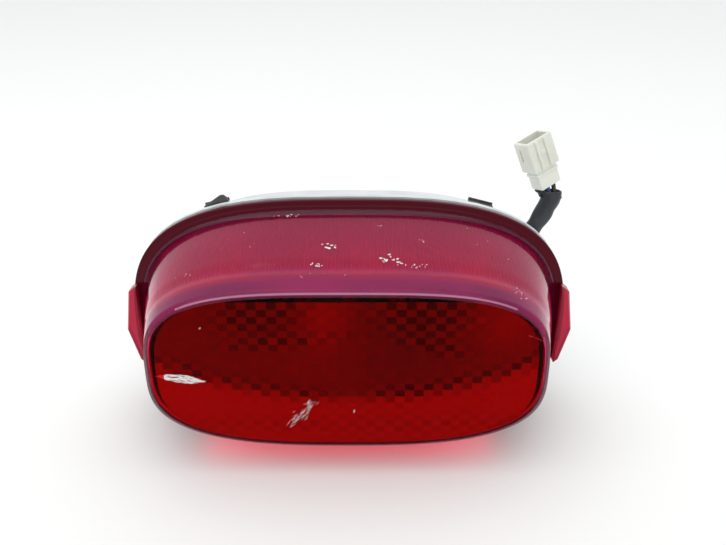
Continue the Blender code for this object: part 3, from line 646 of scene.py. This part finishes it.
def plate_between(name, columns, rows, front, back):
    """A closed plate from two equal grids of points."""
    points = [*front, *back]
    size = columns * rows
    faces = []
    for row in range(rows - 1):
        for column in range(columns - 1):
            a = row * columns + column
            faces.append((a, a + 1, a + columns + 1, a + columns))
            faces.append((size + a, size + a + columns, size + a + columns + 1, size + a + 1))
    for column in range(columns - 1):
        last = (rows - 1) * columns + column
        faces.append((column, size + column, size + column + 1, column + 1))
        faces.append((last, last + 1, size + last + 1, size + last))
    for row in range(rows - 1):
        a = row * columns
        b = a + columns - 1
        faces.append((a, a + columns, size + a + columns, size + a))
        faces.append((b, size + b, size + b + columns, b + columns))
    return facing_out(mesh_of(name, points, faces))


def top_height(x, depth, inset):
    """The height of the lens wall's top at x."""
    half_width, _, middle, top, power, _ = lens_shape(depth)
    across = min(1.0, abs(x) / (half_width - inset))
    return middle + (top - inset - middle) * (1 - across ** power) ** (1 / power)


def make_flutes():
    """The fine flutes moulded inside the top wall. They fade out before the valley and the plain lip."""
    pitch = 1.65 * MM
    per_flute = 8
    flutes = 106
    columns = flutes * per_flute + 1
    even_depths = (0.12 + 0.52 * step / 8 for step in range(9))
    depths = [0.075, 0.09, *even_depths, 0.67, 0.70, 0.74, 0.80, 0.87, 0.945]
    front = []
    back = []
    for depth in depths:
        y = FLANGE_BACK - LENS_DEPTH * depth
        fade = min(1.0, max(0.0, (0.71 - depth) / 0.05)) * min(1.0, max(0.0, (depth - 0.08) / 0.03))
        limit = (lens_shape(depth)[0] - SHELL_WALL) * 0.97
        for column in range(columns):
            x = (column / per_flute - flutes / 2) * pitch
            x = max(-limit, min(limit, x))
            ridge = abs(math.sin(math.pi * column / per_flute))
            top = top_height(x, depth, SHELL_WALL + 0.05 * MM)
            front.append((x, y, top - 0.6 * MM * ridge * fade))
            back.append((x, y, top - 0.95 * MM))
    return plate_between("lens_flutes", columns, len(depths), front, back)


# The flutes' colour runs along the depth and is partly painted light: red in the middle, darker purple at the
# front lip, pale bluish pink towards the rear as a painted sheen of the bright light above, and a dark band
# at the rim end as painted shade; the noise mixes in a random tone.
FLUTE_PAINTED_LIGHT_LOOK = Look("lens_flutes", (0.62, 0.015, 0.16), 0.22, IOR=1.35)
FLUTE_PAINTED_LIGHT_LOOK.color(FLUTE_PAINTED_LIGHT_LOOK.mix(
    FLUTE_PAINTED_LIGHT_LOOK.spread(FLUTE_PAINTED_LIGHT_LOOK.noise(22, 5), 0.35, 0.75, 0.0, 1.0),
    FLUTE_PAINTED_LIGHT_LOOK.ramp(FLUTE_PAINTED_LIGHT_LOOK.axis("Y"), -0.064, -0.002, (
        (-0.0635, (0.12, 0.030, 0.17)), (-0.0540, (0.15, 0.040, 0.22)), (-0.0485, (0.58, 0.006, 0.16)),
        (-0.0410, (0.62, 0.006, 0.24)), (-0.0100, (0.42, 0.060, 0.72)), (-0.0060, (0.08, 0.003, 0.12)),
    )),
    (0.34, 0.040, 0.34),
))
piece("lens_flutes", make_flutes(), FLUTE_PAINTED_LIGHT_LOOK.material)


def make_liner():
    """The satin inner skin of the lens wall, seen through the polished outer skin: an opaque sheet whose dark
    red is painted shade, standing for the shaded inside of the lamp.
    """
    loops = []
    for wall, order in ((2.6 * MM, 1), (2.3 * MM, -1)):
        skin = []
        for step in range(17):
            depth = 0.06 + 0.89 * step / 16
            y = FLANGE_BACK - LENS_DEPTH * depth + wall * depth
            skin.append(ring_at(y, wall, lens_shape(depth), 60))
        loops.extend(skin[::order])
    return loft("lens_liner", loops, ring=True)


# The liner's dark reds are painted shade: the lens's red over the shaded inside of the lamp, with a random
# drift.
LINER_PAINTED_SHADE_LOOK = Look("lens_liner", (0.30, 0.004, 0.05), 0.35, IOR=1.3)
LINER_PAINTED_SHADE_LOOK.color(LINER_PAINTED_SHADE_LOOK.mix(
    LINER_PAINTED_SHADE_LOOK.spread(LINER_PAINTED_SHADE_LOOK.noise(18, 5), 0.35, 0.7, 0.0, 1.0),
    (0.22, 0.003, 0.05), (0.15, 0.003, 0.035),
))
piece("lens_liner", make_liner(), LINER_PAINTED_SHADE_LOOK.material)


TILE_WIDE = 4.1 * MM
TILE_HIGH = 3.2 * MM
TILE_DROP = 6 * MM  # the tiles' grid is centred this far below the middle of the face


def bell(distance, width):
    return math.exp(-(distance / width) ** 2)


def tile_shade_level(x, z, even):
    """How dark a tile's painted shade is, 0 to 1: the bowls and curved bands show dark, and more so on every
    other tile, while the face below the curved band is left lighter as painted light.
    """
    x, z = x / MM, z / MM
    band = 41.0 + 11.0 * (abs(x) / 66) ** 2.2
    above = 1 / (1 + math.exp(-(z - band) / 1.2))
    bowls = max(0.8 * bell(x + 36, 18), bell(x - 32, 20)) * bell(z - 81, 10)
    smile = bell(z - band - 1, 4.4) * min(1.0, abs(x - 2) / 14) * (0.8 if x < 0 else 1.0)
    upper_left = bell(z - 68.5 - 0.12 * (x + 30), 3.2) * bell(x + 28, 24)
    upper_right = 0.7 * bell(z - 69 + 0.25 * (x - 30), 4.5) * bell(x - 36, 20)
    painted_shade = 0.66 * above
    painted_shade += (
        0.12 * bell(x - 24, 24) * bell(z - 60, 16) + 0.16 * bowls
        - 0.28 * bell(x + 10, 9) * bell(z - 78, 14) - 0.25 * bell(x - 66, 15) * bell(z - 78, 13)
    )
    if even:
        painted_shade += 0.42 * max(bowls, smile, upper_left, upper_right)
    else:
        painted_shade -= 0.10 * max(bowls, smile, upper_left, upper_right)
    painted_shade += (0.10 * bell(x - 20, 60) + 0.22 * bell(z - 27, 4.5)) * (1 - above) * (1 if even else 0)
    return min(1.0, max(0.0, painted_shade + 0.10 * noise.noise(Vector((x * 0.25, z * 0.35, 3.0)))))


def make_optics():
    """The tiled optics moulded inside the face: a chequer of pillows and tilted facets."""
    per_tile = 6
    across = 42
    up = 26
    columns = across * per_tile + 1
    rows = up * per_tile + 1
    limit = 0.955
    middle = FACE_SHAPE[2]
    front = []
    back = []
    for row in range(rows):
        for column in range(columns):
            x = (column / per_tile - across / 2) * TILE_WIDE
            z = middle - TILE_DROP + (row / per_tile - up / 2) * TILE_HIGH
            norm = face_norm(x, z)
            if norm > limit:
                x *= limit / norm
                z = middle + (z - middle) * limit / norm
            y = face_y(x, z) + SHELL_WALL + 0.05 * MM
            u = column / per_tile % 1.0
            v = row / per_tile % 1.0
            even = (column // per_tile + row // per_tile) % 2 == 0
            pillow = math.sin(math.pi * u) * math.sin(math.pi * v)
            relief = 0.5 * pillow if even else 0.15 * pillow
            front.append((x, y + (0.6 - relief) * MM, z))
            back.append((x, y + 1.1 * MM, z))
    mesh = plate_between("lens_optics", columns, rows, front, back)
    # Each tile gets a painted shade value, 0 to 1, for the optics' colour.
    painted_shade_values = mesh.attributes.new("painted_shade", "FLOAT", "FACE")
    for polygon in mesh.polygons:
        at = polygon.center
        tile_x = math.floor(at.x / TILE_WIDE)
        tile_z = math.floor((at.z - middle + TILE_DROP) / TILE_HIGH)
        centre_x = (tile_x + 0.5) * TILE_WIDE
        centre_z = (tile_z + 0.5) * TILE_HIGH + middle - TILE_DROP
        painted_shade_values.data[polygon.index].value = tile_shade_level(centre_x, centre_z, (tile_x + tile_z) % 2 == 0)
    return mesh


# The optics' colour runs from red to near black by each tile's painted shade.
OPTICS_LOOK = Look("lens_optics", (0.3, 0.002, 0.004), 0.3, IOR=1.3)
painted_shade = OPTICS_LOOK.nodes.new("ShaderNodeAttribute")
painted_shade.attribute_name = "painted_shade"
OPTICS_LOOK.color(OPTICS_LOOK.mix(painted_shade.outputs["Fac"], (0.50, 0.001, 0.003), (0.045, 0.0005, 0.001)))
OPTICS_LOOK.rough(OPTICS_LOOK.spread(OPTICS_LOOK.noise(50, 4), 0.3, 0.8, 0.22, 0.42))
piece("lens_optics", make_optics(), OPTICS_LOOK.material)


def make_flecks():
    """Flecks of stray paint and chips on the lens, each a thin uneven flake lying on the surface."""
    draw = random.Random(7)
    clusters = (
        # x, depth from the rim, spread across, spread along, count, size
        (-27, 6.5, 8, 1.6, 10, 0.75), (-8, 30, 2.5, 2.5, 9, 0.95), (-13, 43, 3.5, 2.0, 8, 0.8),
        (16, 39, 4.0, 3.0, 12, 1.15), (21, 42, 3.0, 1.6, 6, 1.1), (29, 43, 4.5, 1.2, 12, 0.7),
        (15, 15, 1.6, 1.0, 3, 0.5), (33, 25, 1.2, 4.0, 5, 0.5), (-10, 50, 12, 3, 5, 0.45),
        (60, 20, 14, 8, 5, 0.4), (-50, 25, 16, 10, 6, 0.4), (73, 50, 2.4, 5.0, 12, 0.5),
        (-70, 42, 5, 3, 4, 0.6),
    )
    points = []
    faces = []
    for x0, depth0, wide, along, count, size in clusters:
        for _ in range(count):
            x = draw.gauss(x0, wide * 0.5)
            depth = draw.gauss(depth0, along * 0.5)
            reach = size * draw.uniform(0.35, 1.0)
            corners = draw.randint(6, 9)
            turn = draw.uniform(0, math.pi)
            thin = draw.uniform(0.3, 0.8)
            ring = []
            for index in range(corners):
                angle = 2 * math.pi * index / corners
                radius = reach * draw.uniform(0.55, 1.0)
                u = radius * math.cos(angle)
                v = radius * math.sin(angle) * thin
                ring.append((
                    u * math.cos(turn) - v * math.sin(turn), u * math.sin(turn) + v * math.cos(turn),
                ))
            first = len(points)
            for lift in (0.02, 0.09):
                for u, v in ring:
                    shrink = 1.0 if lift < 0.05 else 0.8
                    px = (x + u * shrink) * MM
                    share = (depth + v * shrink) * MM / LENS_DEPTH
                    pz = top_height(px, share, 0.0) + lift * MM
                    points.append((px, FLANGE_BACK - share * LENS_DEPTH, pz))
            faces.append(tuple(reversed(range(first, first + corners))))
            faces.append(tuple(range(first + corners, first + 2 * corners)))
            for index in range(corners):
                beside = (index + 1) % corners
                above = first + corners
                faces.append((first + index, first + beside, above + beside, above + index))
    return facing_out(mesh_of("paint_flecks", points, faces))


piece("paint_flecks", make_flecks(), FLECK_AND_HIGHLIGHT_PAINT, smooth=False)


def sliver(points, faces, x, z, turn, length, width):
    """Adds one raised sliver to the face, a long thin diamond: used for scratch edges and for the pieces of
    painted highlights.
    """
    first = len(points)
    along = (math.cos(turn), math.sin(turn))
    for lift in (0.015, 0.06):
        for u, v in ((-0.5, 0.0), (0.0, -0.5), (0.5, 0.0), (0.0, 0.5)):
            px = (x + u * length * along[0] - v * width * along[1]) * MM
            pz = (z + u * length * along[1] + v * width * along[0]) * MM
            points.append((px, face_y(px, pz) - lift * MM, pz))
    faces.append((first + 3, first + 2, first + 1, first))
    faces.append((first + 4, first + 5, first + 6, first + 7))
    for index in range(4):
        beside = (index + 1) % 4
        faces.append((first + index, first + beside, first + 4 + beside, first + 4 + index))


def make_highlights_and_scratches():
    """Pale slivers on the face: a patch at the left and a streak that are painted highlights, and four short
    marks, of which the two at the upper right are painted highlights and the others fine scratches.
    """
    draw = random.Random(11)
    points = []
    faces = []
    # A pale patch at the left of the face: a painted highlight.
    for _ in range(150):
        share = draw.uniform(-1, 1)
        x = -70.5 + 9.2 * share
        z = 51.4 - 1.0 * share + draw.uniform(-1, 1) * 2.1 * (1 - share * share)
        turn = math.radians(draw.gauss(-6, 5))
        sliver(points, faces, x, z, turn, draw.uniform(1.6, 4.2), draw.uniform(0.25, 0.6))
    # A pale streak left of the middle, low on the face: a painted highlight.
    for _ in range(85):
        share = draw.uniform(-1, 1)
        x = -19.5 + 5.2 * share + draw.gauss(0, 1.4)
        z = 34.5 + 6.5 * share + draw.gauss(0, 1.0)
        turn = math.radians(draw.gauss(50, 9))
        sliver(points, faces, x, z, turn, draw.uniform(1.2, 3.4), draw.uniform(0.05, 0.15))
    # Short marks: the two at the upper right are painted highlights, the other two fine scratches.
    highlight_marks_and_scratches = ((79.5, 70.5, -25, 5.0), (76, 72, -15, 2.6), (3, 35.5, 75, 2.2), (-60, 76, 40, 1.2))
    for x, z, turn, length in highlight_marks_and_scratches:
        sliver(points, faces, x, z, math.radians(turn), length, 0.45)
    return facing_out(mesh_of("face_highlights_and_scratches", points, faces))


piece("face_highlights_and_scratches", make_highlights_and_scratches(), FLECK_AND_HIGHLIGHT_PAINT, smooth=False)


def make_ear(side, sign):
    """A side reflector ear: a lug on the flange whose outer edge has an upper and a lower facet."""
    loops = []
    for y, draw_in in ((-1.4, 0.0), (-7.6, 0.0), (-9.2, 0.9)):
        loops.append([
            (sign * x * MM, y * MM, z * MM) for x, z in (
                (102.5, 66.8 - draw_in), (106.6 - draw_in, 63.6 - draw_in), (109.6 - draw_in, 43.0),
                (105.2 - draw_in, 25.6 + draw_in), (102.5, 23.6 + draw_in),
            )
        ])
    return loft(side + "_ear", loops)


EAR_LOOK = lens_look("lens_ear", (0.62, 0.02, 0.07), 0.10, 1.3, 0.10, 0.6)
for side, sign in (("left", -1), ("right", 1)):
    ear = piece(side + "_ear", make_ear(side, sign), EAR_LOOK, smooth=False)
    rounding = ear.modifiers.new("rounding", "BEVEL")
    rounding.width = 0.35 * MM
    rounding.segments = 3


# ---------------------------------------------------------------- contact springs

SPRING_WIRE = 0.35 * MM
SPRING_TURNS = 5.5


def make_coil(name, low, high):
    """A round-wire compression spring that fills a box, along its y axis."""
    middle = (low + high) / 2
    radius = (high.x - low.x) / 2 - SPRING_WIRE
    steps = 150
    loops = []
    for step in range(steps + 1):
        turn = 2 * math.pi * SPRING_TURNS * step / steps
        outward = Vector((math.cos(turn), 0.0, math.sin(turn)))
        y = low.y + SPRING_WIRE + (high.y - low.y - 2 * SPRING_WIRE) * step / steps
        centre = Vector((middle.x, y, middle.z)) + outward * radius
        loops.append([
            centre + outward * (SPRING_WIRE * math.cos(math.pi * side / 5))
            + Vector((0.0, SPRING_WIRE * math.sin(math.pi * side / 5), 0.0))
            for side in range(10)
        ])
    return loft(name, loops)


for side in ("left", "right"):
    low, high = (Vector(corner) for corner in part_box(f"{side}_contact_spring"))
    coil = piece(
        f"{side}_spring_coil", make_coil(f"{side}_spring_coil", low, high), LOOKS["spring"],
        body=f"{side}_holder",
    )
    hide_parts(f"{side}_contact_spring")
    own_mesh(coil)


# ---------------------------------------------------------------- CAD nodes that keep their shape

def dress(node, look):
    for slot in bpy.data.objects[node].material_slots:
        slot.material = LOOKS[look]


FINISHES = {
    "lens_gasket": "rubber", "housing": "housing", "reflector": "silver", "harness_clip": "spring",
    "left_lead": "lead", "right_lead": "lead",
}
for number in (1, 2, 3):
    FINISHES[f"connector_terminal_{number}"] = "terminal"
for side in ("left", "right"):
    FINISHES.update({
        f"{side}_bulb_holder": "holder", f"{side}_holder_seal": "rubber", f"{side}_socket_shell": "plated",
        f"{side}_contact_plate": "phenolic", f"{side}_bulb_base": "brass",
        f"{side}_bulb_glass": "glass", f"{side}_filament": "tungsten",
    })
for place in ("left", "right", "upper"):
    FINISHES.update({f"{place}_stud": "plated", f"{place}_washer": "plated", f"{place}_nut": "plated"})
for corner in ("top_left", "top_right"):
    FINISHES[corner + "_clip"] = "spring"
for node, look in FINISHES.items():
    dress(node, look)


# ---------------------------------------------------------------- floor and light

def make_stage():
    mesh = mesh_of("floor", [(-6, -6, 0), (6, -6, 0), (6, 6, 0), (-6, 6, 0)], [(0, 1, 2, 3)])
    look = Look("floor_pale", (0.93, 0.935, 0.91), 0.75)
    look.bump(look.noise(300, 3), 0.03, 0.1 * MM)
    mesh.materials.append(look.material)
    floor = link(bpy.data.objects.new("floor", mesh))
    floor.location.z = -0.2 * MM


def area_light(name, place, target, size, power, color=(1.0, 1.0, 1.0)):
    data = bpy.data.lights.new(name, "AREA")
    data.shape = "RECTANGLE"
    data.size, data.size_y = size
    data.energy = power
    data.color = color
    light = link(bpy.data.objects.new(name, data))
    light.location = place
    light.rotation_mode = "QUATERNION"
    light.rotation_quaternion = (Vector(target) - Vector(place)).to_track_quat("-Z", "Y")
    return light


make_stage()
world = bpy.data.worlds.new("studio")
world.use_nodes = True
world.node_tree.nodes["Background"].inputs["Color"].default_value = (0.97, 0.98, 1.0, 1.0)
world.node_tree.nodes["Background"].inputs["Strength"].default_value = 0.93
bpy.context.scene.world = world
area_light("key", (-0.2, -0.3, 1.3), (0.0, 0.0, 0.05), (1.7, 1.7), 7)
# The lens's inner layers are opaque, so a faint red lamp under it stands for the light that it would pass.
glow = area_light(
    "glow_under_lens", (0.0, -0.040, 0.0085), (0.0, -0.055, -0.06), (0.135, 0.028), 0.008, (1.0, 0.03, 0.08),
)
glow.visible_camera = False
glow.visible_glossy = False
glow.visible_transmission = False
bpy.context.scene.view_settings.view_transform = "Standard"
